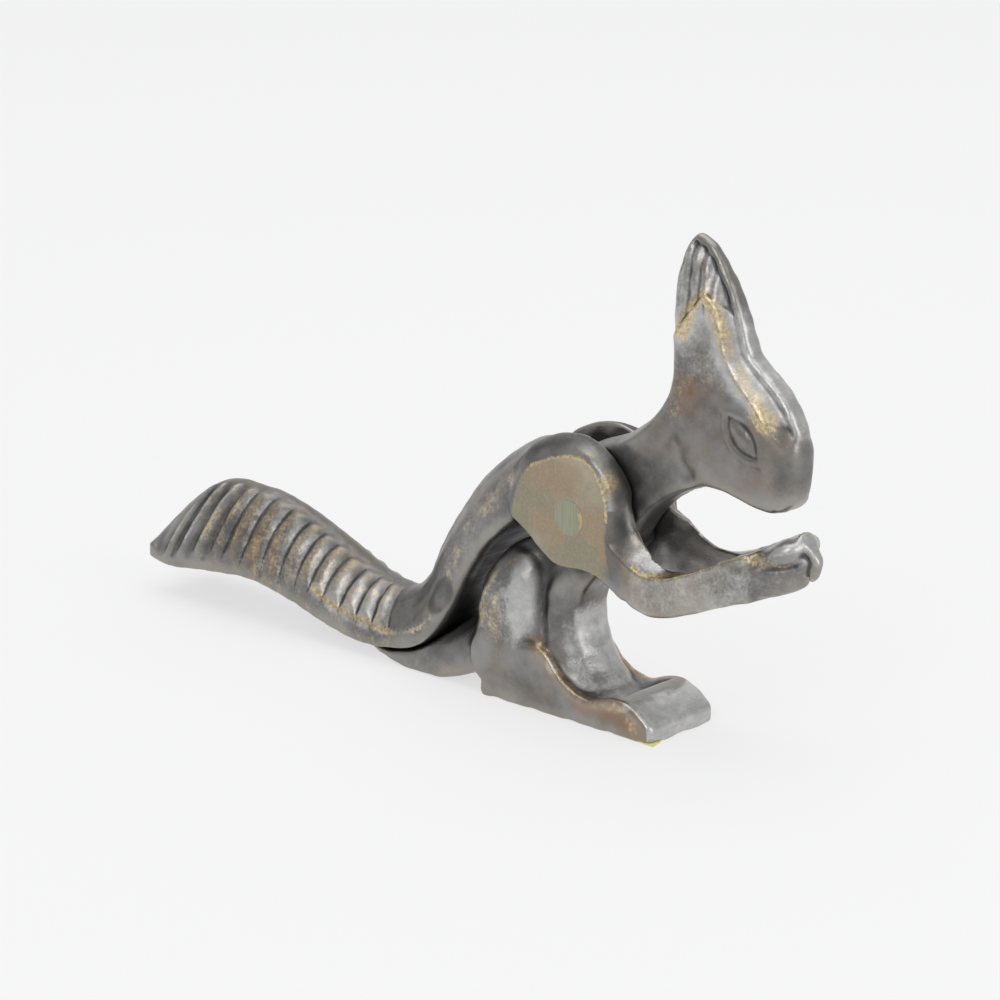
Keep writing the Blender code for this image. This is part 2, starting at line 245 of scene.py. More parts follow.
HAUNCH_CENTRE = (-18, 17.8)
HAUNCH_LEAN = math.radians(17)
HAUNCH_VALLEY = np.array([(-9.2, 31.5), (-9.8, 27), (-9.9, 22.5), (-8.9, 18), (-7.6, 14)])
EYE_CENTRE = (37.9, 62.8)
EYE_HALF_LENGTH = 4.3
EYE_HALF_WIDTH = 1.9
EYE_SLOPE = math.radians(-46)
NECK_CREASE = np.array([(20.2, 58.8), (22, 55.8), (24.4, 52.8)])
BROW = np.array([(21.6, 80.6), (24.2, 84.6), (26.9, 87.4), (29.4, 85.2), (31.2, 81.4), (33.4, 76.4),
                 (36.6, 72.8), (40.4, 69.4), (43.6, 65.6)])


def eye_relief(x, z):
    """An almond eye: a domed lens in a groove, inside a faint lid, with a crease behind it."""
    dx = x - EYE_CENTRE[0]
    dz = z - EYE_CENTRE[1]
    along = dx * math.cos(EYE_SLOPE) + dz * math.sin(EYE_SLOPE)
    across = -dx * math.sin(EYE_SLOPE) + dz * math.cos(EYE_SLOPE)
    radius = (EYE_HALF_LENGTH**2 + EYE_HALF_WIDTH**2) / (2 * EYE_HALF_WIDTH)
    edge = np.hypot(along, np.abs(across) + radius - EYE_HALF_WIDTH) - radius
    lens = 0.30 * ramp(0, 1.8, -edge)
    groove = -0.21 * bell(edge - 0.1, 0.6)
    lid = 0.14 * bell(edge - 1.1, 0.6)
    behind = -0.12 * bell(edge - 2, 0.7) * ramp(0.2, 1.2, -across)
    return lens + groove + lid + behind


def ear_flutes(x, z):
    """The ear's flutes, 0 in their grooves and 1 on their backs, fanning slightly downwards."""
    spacing = 2.3 * (1 + 0.02 * (92.0 - z))
    return 0.5 - 0.5 * np.cos(2 * math.pi * (x - 22.9) / spacing)


def ear_hollow(x, z, front, nape):
    """1 inside the ear's fluted hollow, above the brow like an upturned V, and 0 outside."""
    brow = 87.2 - np.where(x < 27, 1.25, 0.62) * np.abs(x - 27)
    return (ramp(0.1, 0.8, z - brow) * ramp(0.45, 0.95, nape)
            * ramp(1, 1.7, front))


def head_half(x, z):
    """Half thickness of the head and neck at each place in the side view."""
    front = path_gap(FRONT_PATH, x, z)
    under = path_gap(UNDER_PATH, x, z)
    nape = path_gap(NAPE_PATH, x, z)
    swell = np.exp(-((((x - 34) / 10.5) ** 2 + ((z - 61) / 9.5) ** 2) ** 1.4))
    full = 4.5 + 1.5 * swell
    full = full - (full - 3.6) * ramp(76, 88, z) - 1.1 * ramp(88, 98, z)
    band = np.interp(z, [56, 61, 66, 76, 88, 97], [1.4, 1.6, 2.1, 2.1, 1.75, 1.1])
    recess = 1.2 * ramp(61.5, 66, z) * (1 - 0.5 * ramp(84, 92, z))
    rise = ramp(0, 1, (front - recess) / 3.6)
    muzzle = np.sqrt(1 - (1 - np.clip(front / 5.5, 0, 1)) ** 2)
    rise = muzzle + (rise - muzzle) * ramp(60, 66, z)
    from_front = band + (full + 0.12 - band) * rise
    brow = path_gap(BROW, x, z)
    ridge = 0.5 * bell(brow, 1.7) + 0.25 * bell(brow, 3.6)
    ridge = ridge * ramp(62.5, 67, z)
    from_nape = 1.5 + (full - 1) * np.sin(0.5 * math.pi * np.clip(nape / 2.6, 0, 1))
    from_under = 2.8 + (full - 2.3) * np.sqrt(1 - (1 - np.clip(under / 2.6, 0, 1)) ** 2)
    half = join(join(from_front, from_nape, 0.8), join(from_under, full, 0.8), 0.8)
    crease = path_gap(NECK_CREASE, x, z)
    temple = bell(np.hypot(x - 26.5, z - 79), 4)
    notch = bell(np.hypot(x - 44.6, z - 49.2), 0.8)
    half = half + ridge - 0.45 * bell(crease, 1.9) - 0.35 * temple - 0.8 * notch
    hollow = ear_hollow(x, z, front, nape)
    half = half - hollow * (0.66 - 0.34 * ear_flutes(x, z))
    return half + eye_relief(x, z)


def bar(rows, x, y, z, half=None, gap=0):
    """A flat bar along the tail, from a table of its underside, top and half width."""
    columns = table(rows, x, reverse=True)
    low, high = columns[0] - gap, columns[1] + gap
    width = (columns[2] if half is None else half) + gap
    upright = meet(low - z, z - high, 0.6)
    ends = np.maximum(x - rows[0][0] - gap, rows[-1][0] - gap - x)
    return meet(meet(upright, y - width, 1), ends, 1)


def haunch(x, y, z):
    """The egg-shaped haunch on each side, leaning forward at its top."""
    ahead, above = x - HAUNCH_CENTRE[0], z - HAUNCH_CENTRE[1]
    up = ahead * math.sin(HAUNCH_LEAN) + above * math.cos(HAUNCH_LEAN)
    along = ahead * math.cos(HAUNCH_LEAN) - above * math.sin(HAUNCH_LEAN)
    round_share = np.sqrt((up / 14.2) ** 2 + (along / 8.5) ** 2)
    return ((round_share**3 + (np.abs(y - 1.4) / 8.5) ** 3) ** (1 / 3) - 1) * 7.0


def feet(x, y, z):
    """Both feet on one flat sole: outer ridges, a channel between them and a sloping ground front."""
    above_crease = ramp(-1.5, 5, z - 13.4 - 0.386 * (x + 6.5)) * ramp(-2, -7, x)
    side = y - 9.85 + 1.3 * above_crease
    block = meet(outline_gap(FOOT_LOOP, x, z), side, 1.5)
    corner = np.hypot(np.maximum(x - 18.6, 0), np.maximum(y - 8.2, 0)) - 1.8
    block = meet(block, corner, 0.7)
    channel = (((np.abs(y) / 7.2) ** 3.2 + (np.abs(z - 9.8) / 6.3) ** 3.2) ** (1 / 3.2) - 1) * 6.0
    channel = meet(channel, x - 11.2, 0.3)
    return meet(block, -channel, 1.2)


def belly(x, y, z):
    """The ground front of the belly, crowned across and narrowing up to the arms."""
    side = np.interp(z, [4, 14, 18, 22, 27, 31], [8.6, 8.2, 7.3, 6.2, 5.3, 4.6])
    return meet(outline_gap(BELLY_LOOP, x + 0.06 * y**2, z) * 0.9, y - side, 3)


def body_field(x, y, z):
    """The head, neck, torso, haunches, feet and lower tail."""
    y = np.abs(y)
    head = meet(outline_gap(HEAD_LOOP, x, z), 0.8 * (y - head_half(x, z)), 1.1)
    torso = meet(outline_gap(TORSO_LOOP, x, z), y - 4.5, 1.4)
    field = join(head, torso, 2)
    legs = join(haunch(x, y, z), feet(x, y, z), 1.8 + 4.0 * ramp(-16, -22, x))
    valley = bell(path_gap(HAUNCH_VALLEY, x, z), 1) * ramp(4, 6, y)
    field = join(field, join(legs, belly(x, y, z), 0.7), 1.5) + 0.6 * valley
    keel = np.maximum(z - table(TAIL_ROOT, x, reverse=True)[0], 0)
    root = meet(bar(TAIL_ROOT, x, y, z), 0.85 * (y - 9.3 + 0.045 * keel**2), 0.8)
    tail = join(root, bar(TAIL_CORE, x, y, z, half=CORE_HALF), 1.2)
    field = meet(join(field, tail, 1.6), y - HALF_WIDTH + 0.05, 0.5)
    field = np.maximum(field, FLOOR_CUT - z)
    bore = np.hypot(x, z - PIVOT_Z) - PIN_HOLE
    return np.maximum(field + unevenness(x, y, z), -bore)


# ---- arm lever

SHOULDER_LOOP = spline(SHOULDER, 5, closed=True)
FLAT_LOOP = spline(GROUND_FLAT, 5, closed=True)
GROOVE_PATH = spline(HAND_GROOVE)
THUMB_PATH = spline(THUMB_GROOVE)
PALM_CENTRE = (46.2, 42)
PALM_SLOPE = math.radians(28)
SECTIONS = spline([(*low, *high, half, side) for low, high, half, side in BACK_AND_TAIL], 10)


def tail_place(x, z):
    """The section of the back and tail that a point lies on: its index, and its height from 0 to 1."""
    middle = 0.5 * (SECTIONS[:, 0:2] + SECTIONS[:, 2:4])
    best = np.full(np.broadcast(x, z).shape, 1e9)
    index = np.zeros(best.shape)
    for i, centre in enumerate(middle):
        gap = (x - centre[0]) ** 2 + (z - centre[1]) ** 2
        index = np.where(gap < best, i, index)
        np.minimum(best, gap, out=best)
    rows = np.arange(len(SECTIONS))
    for _ in range(3):
        low_x, low_z, high_x, high_z = (np.interp(index, rows, SECTIONS[:, k]) for k in range(4))
        rise_x, rise_z = high_x - low_x, high_z - low_z
        length = np.hypot(rise_x, rise_z)
        ahead = ((x - low_x) * rise_z - (z - low_z) * rise_x) / length
        pace = np.interp(index, rows[:-1] + 0.5, np.hypot(*np.diff(middle, axis=0).T))
        index = np.clip(index - ahead / pace * 0.9, 0, len(SECTIONS) - 1)
    share = ((x - low_x) * rise_x + (z - low_z) * rise_z) / length**2
    return index, share, length, ahead


def lock_phase(edge_x, y, half):
    """How far across its lock of fur a place is, 0 to 1. The grooves sweep forward up to the crest."""
    starts = np.array(TAIL_GROOVES)
    sweep = 3.6 * (1 - np.clip(y / half, 0, 1)) ** 1.3
    return np.interp(edge_x - sweep, starts, np.arange(len(starts))) % 1.0


def fur_relief(edge_x, y, half, share, far):
    """Locks of fur across the tail: pillows with a groove between, and at the tip sharp ridges.

    far is 1 on the far side, where the fur starts lower on the crest, and 0 on the near side.
    """
    tip = 1 - ramp(-104, -94, edge_x)
    phase = lock_phase(edge_x, y, half)
    pillow = 0.95 * np.sin(math.pi * phase**1.15) ** 0.75 - 0.25
    blade = 1.15 * (1 - np.abs(np.sin(math.pi * (phase - 0.6)))) - 0.35
    fade = ramp(-41, -46, edge_x) * ramp(-120, -118.5, edge_x)
    crest = ramp(1, 3.4, y - 3.4 * far)
    side = ramp(-92, -87, edge_x) * (1 - ramp(-76, -71, edge_x))
    ledge = ramp(0.10, 0.15, share)
    strip = 1 - ramp(half - 0.9, half - 0.1, y)
    lower = side * (1 - 0.7 * ramp(half - 2, half + 0.2, y))
    lower = lower + (1 - side) * np.where(edge_x < -89, ledge, strip)
    return ((1 - tip) * pillow + tip * blade) * fade * crest * lower


def oval_share(x, z):
    """How far out a point is in the oval dimple at the tail's curl, 1 at its rim."""
    along = (x + 34.9) * 0.54 + (z - 17.6) * 0.84
    across = (x + 34.9) * 0.84 - (z - 17.6) * 0.54
    return np.hypot(along / 5.2, across / 2.7)


def tail_edge(x, z):
    """Where along the tail's underside edge a point's section starts."""
    index = tail_place(x, z)[0]
    return np.interp(index, np.arange(len(SECTIONS)), SECTIONS[:, 0])


def back_and_tail(x, y, z, far):
    """The back, the curl and the crowned upper tail. far is 1 on the far side and 0 on the near."""
    index, share, length, ahead = tail_place(x, z)
    rows = np.arange(len(SECTIONS))
    half, side = (np.interp(index, rows, SECTIONS[:, k]) for k in (4, 5))
    edge_x = np.interp(index, rows, SECTIONS[:, 0])
    crown = side + (1 - side) * (1 - (y / half) ** 2)
    slope = 2 * (1 - side) * y / half**2 * length
    top = (share - crown) * length / np.sqrt(1 + slope**2)
    top = top - fur_relief(edge_x, y, half, share, far)
    soft = 0.4 + 2.4 * ramp(-93, -88, edge_x) * (1 - ramp(-76, -71, edge_x))
    soft = soft + 3.5 * ramp(-36, -31, edge_x)
    oval = oval_share(x, z)
    dimple = 0.30 * (1 - ramp(0.55, 1.1, oval)) - 0.22 * bell(oval, 0.4)
    flank = y - half + dimple
    under = 1.8 * ramp(-40, -32, edge_x)
    field = meet(meet(top, flank, soft), -share * length, 0.7 + under)
    last = len(SECTIONS) - 1
    ends = np.where(index >= last - 0.01, -ahead, np.where(index <= 0.01, ahead, -1e3))
    return np.maximum(field, ends)


def arms(x, y, z, far):
    """A shoulder with its ground flat face, and the forearm and hand.

    far is 1 on the far side, where the crook of the arm stands higher, and 0 on the near side.
    """
    outside = outline_gap(SHOULDER_LOOP, x, z)
    rim = np.maximum(outline_gap(FLAT_LOOP, x, z), 0)
    share = np.clip(rim / np.maximum(rim - outside, 0.05), 0, 1)
    share = np.where(outside < 0, share, 1)
    drop = 2.8 * (1 - np.sqrt(1 - 0.98 * share**2)) * ramp(0, 2.4, rim)
    dome = ARM_FACE - 0.42 * np.minimum(rim, 4.4) - drop
    dome = np.where(rim > 0, dome, ARM_FACE)
    shoulder = np.maximum(outside, 0.85 * (y - dome))
    low, ridge, inner_top, inner, outer = table(FOREARM, x)
    lift = far * np.interp(x, [12, 16, 19, 23, 28, 34], [1, 2.6, 2.4, 1.7, 0.9, 0.0])
    ridge, inner_top = ridge + 0.4 * lift, inner_top + lift
    top = ridge + (inner_top - ridge) * np.clip((outer - 0.4 - y) / 3, 0, 1)
    groove = path_gap(GROOVE_PATH, x, z)
    thumb = path_gap(THUMB_PATH, x, z)
    under = meet(0.93 * (low - z), y - outer, 1.6)
    forearm = meet(under, 0.9 * (z - top), 0.6)
    forearm = meet(forearm, np.maximum(8.0 - x, x - 40.5), 0.45)
    forearm = join(forearm, hand(x, y, z, groove, thumb), 1.6)
    inner_wall = ARM_INNER + (inner - ARM_INNER) * ramp(9, 17, x)
    return meet(join(shoulder, forearm, 1.2), inner_wall - y, 0.4)


def hand(x, y, z, groove, thumb):
    """One of the joined hands: a rounded palm, a groove behind the lip and a thumb along its side."""
    low, top, half = table(HAND, x)
    middle, height = 0.5 * (low + top), 0.5 * (top - low)
    around = ((np.abs(y) / half) ** 2.8 + (np.abs(z - middle) / height) ** 2.8) ** (1 / 2.8)
    grip = (around - 1) * np.minimum(half, height) * 0.85
    grip = grip + 0.5 * bell(groove, 0.6) + 0.14 * bell(thumb, 0.7) - 0.15 * bell(thumb - 1.3, 0.8)
    lip = (x - 48.9) * 0.758 + (z - 45.5) * 0.652
    grip = meet(meet(grip, np.maximum(lip, 36.0 - x), 0.6), x - 52.6, 1)
    ahead, above = x - PALM_CENTRE[0], z - PALM_CENTRE[1]
    along = ahead * math.cos(PALM_SLOPE) + above * math.sin(PALM_SLOPE)
    up = -ahead * math.sin(PALM_SLOPE) + above * math.cos(PALM_SLOPE)
    palm = (np.sqrt((along / 3.7) ** 2 + (up / 2.5) ** 2 + ((y - 2.2) / 3.3) ** 2) - 1) * 2.5
    return join(grip, palm, 0.7)


def arm_field(x, y, z):
    """The arms, hands, shoulders, back and upper tail. The far arm stands a little higher."""
    far = ramp(-1, 1, y)
    y = np.abs(y)
    tail = meet(back_and_tail(x, y, z, far), y - HALF_WIDTH + 0.1, 0.5)
    field = np.maximum(join(arms(x, y, z, far), tail, 1.4), y - ARM_FACE - 0.01)
    nest = bar(TAIL_CORE, x, y, z, half=CORE_HALF, gap=NEST_GAP)
    field = meet(field, -nest, 0.4)
    return field + unevenness(x, y, z) * ramp(0.05, 0.6, ARM_FACE - y)


# ---- skinning

def ticks(*stops):
    """Grid positions from (start, spacing) stops, the last one being the end."""
    places = []
    for (start, spacing), (end, _) in zip(stops[:-1], stops[1:]):
        count = max(2, round((end - start) / (spacing * COARSE)))
        places.append(np.linspace(start, end, count, endpoint=False))
    return np.append(np.concatenate(places), stops[-1][0])


CORNERS = [(i, j, k) for i in (0, 1) for j in (0, 1) for k in (0, 1)]


def surface_net(field, axes):
    """Vertices and quads of the field's zero surface, on a grid with a row of positions per axis."""
    values = field(axes[0][:, None, None], axes[1][None, :, None], axes[2][None, None, :])
    values = np.broadcast_to(values, [len(a) for a in axes]).astype(np.float32)
    inside = values < 0
    shape = [n - 1 for n in inside.shape]
    count = np.zeros(shape, np.uint8)
    for i, j, k in CORNERS:
        count += inside[i:i + shape[0], j:j + shape[1], k:k + shape[2]]
    cells = np.argwhere((count > 0) & (count < len(CORNERS)))
    number = np.full(shape, -1, np.int32)
    number[tuple(cells.T)] = np.arange(len(cells))
    return net_points(values, cells, axes), np.vstack([net_quads(inside, number, k) for k in range(3)])


def net_points(values, cells, axes):
    """One point in each cell: the mean of the places where the surface crosses the cell's edges."""
    at = {c: values[cells[:, 0] + c[0], cells[:, 1] + c[1], cells[:, 2] + c[2]] for c in CORNERS}
    total = np.zeros((len(cells), 3))
    crossed = np.zeros(len(cells))
    for a in CORNERS:
        for axis in range(3):
            if a[axis]:
                continue
            b = tuple(a[k] + (k == axis) for k in range(3))
            cut = (at[a] < 0) != (at[b] < 0)
            share = np.where(cut, at[a] / np.where(cut, at[a] - at[b], 1), 0)
            for k in range(3):
                total[:, k] += np.where(cut, a[k] + (share if k == axis else 0), 0)
            crossed += cut
    share = total / crossed[:, None]
    return np.stack([
        axes[k][cells[:, k]] + share[:, k] * np.diff(axes[k])[cells[:, k]] for k in range(3)
    ], axis=1)


def net_quads(inside, number, axis):
    """A quad round every grid edge along the axis that the surface crosses, facing outwards."""
    one, two = (axis + 1) % 3, (axis + 2) % 3
    first = [slice(None)] * 3
    second = [slice(None)] * 3
    first[axis] = slice(0, -1)
    second[axis] = slice(1, None)
    start, end = inside[tuple(first)], inside[tuple(second)]
    edges = np.argwhere(start != end)
    edges = edges[(edges[:, one] > 0) & (edges[:, two] > 0)]
    edges = edges[(edges[:, one] < number.shape[one]) & (edges[:, two] < number.shape[two])]
    outwards = start[tuple(edges.T)]
    ring = []
    for da, db in ((-1, -1), (0, -1), (0, 0), (-1, 0)):
        cell = edges.copy()
        cell[:, one] += da
        cell[:, two] += db
        ring.append(number[tuple(cell.T)])
    faces = np.stack(ring, axis=1)
    faces[~outwards] = faces[~outwards][:, ::-1]
    return faces


def slope_of(field, points, reach=0.02):
    """The field's gradient at each point."""
    return np.stack([
        (field(*(points + reach * axis).T) - field(*(points - reach * axis).T)) / (2 * reach)
        for axis in np.eye(3)
    ], axis=1)


def settle(points, field, rounds=2):
    """Move each point onto the field's zero surface."""
    for _ in range(rounds):
        value = field(*points.T)
        slope = slope_of(field, points)
        size = np.maximum((slope**2).sum(axis=1), 0.2)
        move = -value[:, None] * slope / size[:, None]
        far = np.linalg.norm(move, axis=1, keepdims=True)
        points = points + move * np.minimum(1, 0.25 / np.maximum(far, 1e-9))
    return points


def link_object(name, data):
    """A new object in the scene with the given mesh, light or camera."""
    holder = bpy.data.objects.new(name, data)
    bpy.context.scene.collection.objects.link(holder)
    return holder


def smooth_object(name, points, faces):
    """A new smooth-shaded mesh object."""
    mesh = bpy.data.meshes.new(name)
    mesh.from_pydata(points, [], faces)
    mesh.shade_smooth()
    return link_object(name, mesh)


def casting(name, field, masks, axes):
    """A mesh object skinned from a field, in the row frame, with its wear and its painted light and
    shade as point attributes.
    """
    points, quads = surface_net(field, axes)
    points = settle(points, field)
    world = (points + np.array([PIVOT_X, 0, 0])) * MM
    piece = smooth_object(name, world.tolist(), quads.tolist())
    slope = slope_of(field, points)
    facing = slope / np.maximum(np.linalg.norm(slope, axis=1, keepdims=True), 1e-6)
    bulge, broad = curvature(points, quads, facing)
    layers = masks(points[:, 0], np.abs(points[:, 1]), points[:, 2], facing)
    for key, values in {"bulge": bulge, "broad": broad, **layers}.items():
        layer = piece.data.attributes.new(key, "FLOAT", "POINT")
        layer.data.foreach_set("value", values.astype(np.float32))
    return piece


SHARPEST = 3.0  # the greatest curvature kept, in 1/mm
FINE_ROUNDS = 3  # smoothing rounds for the fine curvature, and then for the broad one
BROAD_ROUNDS = 34


def curvature(points, quads, facing):
    """How far the surface bulges (above 0) or dips at each point, finely and broadly, in 1/mm."""
    edges = np.vstack([quads[:, [0, 1]], quads[:, [1, 2]], quads[:, [2, 3]], quads[:, [3, 0]]])
    count = len(points)
    degree = np.maximum(np.bincount(edges.ravel(), minlength=count), 1).astype(float)

    def around(values):
        total = np.bincount(edges[:, 0], values[edges[:, 1]], count)
        total += np.bincount(edges[:, 1], values[edges[:, 0]], count)
        return total / degree

    reach = ((points[edges[:, 0]] - points[edges[:, 1]]) ** 2).sum(axis=1)
    reach = (np.bincount(edges[:, 0], reach, count) + np.bincount(edges[:, 1], reach, count)) / degree
    centre = np.stack([around(points[:, axis]) for axis in range(3)], axis=1)
    bulge = -((centre - points) * facing).sum(axis=1) * 4 / np.maximum(reach, 1e-6)
    bulge = np.clip(bulge, -SHARPEST, SHARPEST)
    for _ in range(FINE_ROUNDS):
        bulge = 0.5 * bulge + 0.5 * around(bulge)
    broad = bulge.copy()
    for _ in range(int(BROAD_ROUNDS / COARSE**2)):
        broad = around(broad)
    return bulge, broad


def adopt(piece, body, node, finish):
    """Give a piece its material and its body, and hide the CAD node it stands for."""
    piece.data.materials.append(finish)
    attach(piece, body)
    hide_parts(node)
    return piece


# ---- where the metal is worn, and where highlights and shade are painted

SHOULDER_RIM = np.array([(-14, 43.4), (-12, 47.4), (-9.6, 49.7), (-4.8, 51.9), (0.1, 53.2),
                         (3.3, 53.1), (5.7, 51.8), (7.9, 48.6), (9, 45.2), (9.2, 42)])
FOREARM_RIDGE = np.array([(15.6, 34.4), (18, 33.4), (21.5, 33.5), (25, 34.5), (29.4, 36.4),
                          (33.4, 38.5), (37.2, 40.6), (41, 42.3)])
TAIL_RIDGE = np.array([(-71, 11.4), (-69, 10.4), (-64.7, 9), (-60.7, 8), (-56.1, 7.6),
                       (-51.4, 7), (-47.5, 7), (-43.7, 8), (-40.3, 9.7), (-37.3, 12.4)])
BACK_STRIP = np.array([(-12, 49), (-19, 42.6), (-25, 36.4), (-30, 28.6), (-33, 22)])
FOOT_RIDGE = np.array([(-9.4, 14), (-5, 10.4), (-1.4, 7.4), (2.4, 5.6), (7, 5.2), (11.5, 5.8),
                       (14.5, 5.2), (16, 2.6)])
HAUNCH_RIM = np.array([(-9, 30.6), (-14.6, 29.8), (-19.6, 25.6), (-23.4, 19.6), (-24.4, 14)])


WEAR_AND_PAINTED_LIGHT = ("gold", "silver_and_highlight", "olive", "brown", "dark")  # the order in which each part's wear, painted highlights and painted shade are returned
# Soft spots of wear and painted highlight: amount, centre, radii, and the distances from the middle
# between which it grows
ACROSS = (-2, -1)
HEAD_GOLD = [
    (0.70, (41.4, 66.6), (2.2, 2.2), ACROSS), (0.40, (23, 80), (1.8, 4.5), ACROSS),
    (0.48, (21, 68), (3.6, 6.4), ACROSS),
]
HEAD_BROWN = [(0.60, (42, 55.5), (4.4, 3.6), ACROSS), (0.75, (24, 68.5), (7, 7.5), ACROSS)]
HIND_GOLD = [
    (0.40, (-20.5, 15), (5, 3.4), (4, 6)), (0.40, (-20.5, 20), (3.4, 6), (4, 6)),
    (0.40, (-38, 3.2), (9, 2.4), (5, 7)),
]
# Rubbed silver on the haunch, foot ridge and toe; the first spot also paints the haunch's highlight
HIND_SILVER_AND_HIGHLIGHT = [
    (1.60, (-13, 22), (2.4, 7.4), (4, 6)), (0.55, (-19, 18), (6, 9), (4, 6)),
    (0.90, (-4.4, 10.6), (1.6, 2.4), (7.5, 9)), (0.80, (14.4, 6), (1.4, 1), (7.5, 9)),
]
HIND_BROWN = [(0.65, (-19.5, 18), (4.6, 7), (3, 6)), (0.50, (-9.4, 15), (3, 2.4), (3, 6))]
RIM_GOLD = [(1.15, (9.2, 49.4), (1.9, 3.6), ACROSS), (0.60, (4, 54.2), (3.4, 1), ACROSS)]
# Silver over the raised locks: partly rubbed, partly painted highlight
LOCK_SILVER_AND_HIGHLIGHT = [(1.45, (-57, 11.4), (11, 4.4), (3, 5)), (0.60, (-78, 18), (9, 4.6), (3, 5))]
LOCK_BROWN = [(0.75, (-92, 18), (11, 9), ACROSS), (0.50, (-74, 16), (14, 6), ACROSS)]


def patch(x, z, centre, radii):
    """1 at a place in the side view, fading to nothing past the radii."""
    return np.exp(-(((x - centre[0]) / radii[0]) ** 2 + ((z - centre[1]) / radii[1]) ** 2))


def spots(rows, x, y, z):
    """The sum of a table's soft spots of wear and painted highlight."""
    return sum(amount * patch(x, z, centre, radii) * ramp(*span, y)
               for amount, centre, radii, span in rows)


def add_up(x, *parts):
    """Several parts' wear and painted light and shade as one, for each of its colours."""
    return {colour: 0 * x + sum(shares) for colour, *shares in zip(WEAR_AND_PAINTED_LIGHT, *parts)}


def head_wear_and_light(x, y, z, facing):
    """Gold and silver along the brow and down the front, the front's silver partly painted light, with
    brown behind the band, painted shade in the crease behind it and darker metal over the lower muzzle.
    """
    head = ramp(49, 54, z) * ramp(14, 20, x)
    brow = path_gap(BROW, x, z)
    gap = path_gap(FRONT_PATH, x, z)
    above_mouth = ramp(64, 68, z)
    in_ear = ramp(84, 88, z)
    front = ramp(0.1, 0.5, facing[:, 0]) * ramp(60, 66, z) * (1 - ramp(1.9, 3, y))
    gold = 0.55 * bell(brow, 1.4) * ramp(74, 84, z) + 0.65 * bell(brow, 2)
    # Silver on the forward-facing band: partly rubbed metal, partly painted light from the right.
    silver_and_highlight = (0.85 - 0.75 * ramp(76, 84, z)) * front
    silver_and_highlight += 1.15 * bell(brow, 2.5) * above_mouth * ramp(88, 82, z)
    silver_and_highlight += 0.45 * ramp(66, 74, z) * (1 - in_ear)
    silver_and_highlight += 0.65 * in_ear * ramp(1.2, 2.2, gap)
    brown = 0.7 * bell(gap - 3.4, 1.2) * above_mouth
    # Painted shade in the crease behind the band; and darker over the lower muzzle.
    dark = 0.3 * bell(gap - 2.2, 0.9) * above_mouth + 0.60 * patch(x, z, (46.8, 56), (3.8, 5.6))
    gold += spots(HEAD_GOLD, x, y, z)
    brown += spots(HEAD_BROWN, x, y, z)
    return head * gold, head * silver_and_highlight, 0, head * brown, head * dark


def hind_wear_and_light(x, y, z, facing):
    """Silver on the belly and the toe's front, a painted highlight on the haunch, gold on ridges,
    painted shade in the valleys, on the throat and under the arms and upper tail, and darker metal low
    on the foot's flank.
    """
    foot = ramp(16, 13, z) * ramp(6.5, 8.5, y)
    ridge = path_gap(FOOT_RIDGE, x, z)
    gold = 0.60 * foot * bell(ridge, 1.7)
    gold += 0.45 * bell(path_gap(HAUNCH_RIM, x, z), 0.9) * ramp(3, 5, y)
    belly_front = ramp(24, 19, z) * ramp(3.5, 7, z) * ramp(-9, -6, x)
    silver_and_highlight = 0.9 * ramp(0.3, 0.85, facing[:, 0]) * belly_front * (1 - ramp(6, 8.4, y))
    toe = ramp(11, 15, x) * ramp(9, 7, z)
    silver_and_highlight += 1.1 * toe * ramp(0.1, 0.6, facing[:, 0])
    brown = 0.85 * foot * bell(ridge, 2.8)
    brown += 0.4 * foot * ramp(-2, 4, x) * ramp(8, 4, z)
    # Painted shade on the neck between the arms, with some darker patina.
    dark = 0.70 * (1 - ramp(52, 60, z)) * ramp(30, 34, z) * ramp(28, 16, x)
    # Painted shadow of the arms on the torso under them.
    dark += 0.6 * ramp(24, 30, z) * (1 - ramp(34, 38, z)) * ramp(16, 10, x)
    # Painted shade on the lower tail's middle, hidden under the upper tail.
    dark += ramp(-31, -35, x) * (y < 5.5)
    # Painted shade in the valley beside the haunch.
    dark += 0.7 * bell(path_gap(HAUNCH_VALLEY, x, z), 1.5) * ramp(3, 5, y)
    # Painted shade on the tail's root under the upper tail's edge.
    dark += 0.35 * ramp(6, 12, z - 0.4 * (-x - 25)) * ramp(-22, -26, x)
    # Darker low on the foot's flank.
    dark += 0.50 * patch(x, z, (-12, 5), (8, 4)) * ramp(7, 9, y)
    gold += spots(HIND_GOLD, x, y, z)
    # The haunch's silver spot is partly a painted highlight.
    silver_and_highlight += spots(HIND_SILVER_AND_HIGHLIGHT, x, y, z)
    brown += spots(HIND_BROWN, x, y, z)
    return gold, silver_and_highlight, 0, brown, dark


def body_masks(x, y, z, facing):
    """Worn gold, rubbed silver with painted highlights, ground olive, red-brown, and dark that is
    mostly painted shade, over the body lever.
    """
    return add_up(x, head_wear_and_light(x, y, z, facing), hind_wear_and_light(x, y, z, facing))


def ground_face(x, y, z):
    """1 on the shoulder's ground flat and 0 off it."""
    flat = outline_gap(FLAT_LOOP, x, z)
    return ramp(ARM_FACE - 0.12, ARM_FACE - 0.04, y) * ramp(0.1, -0.2, flat)


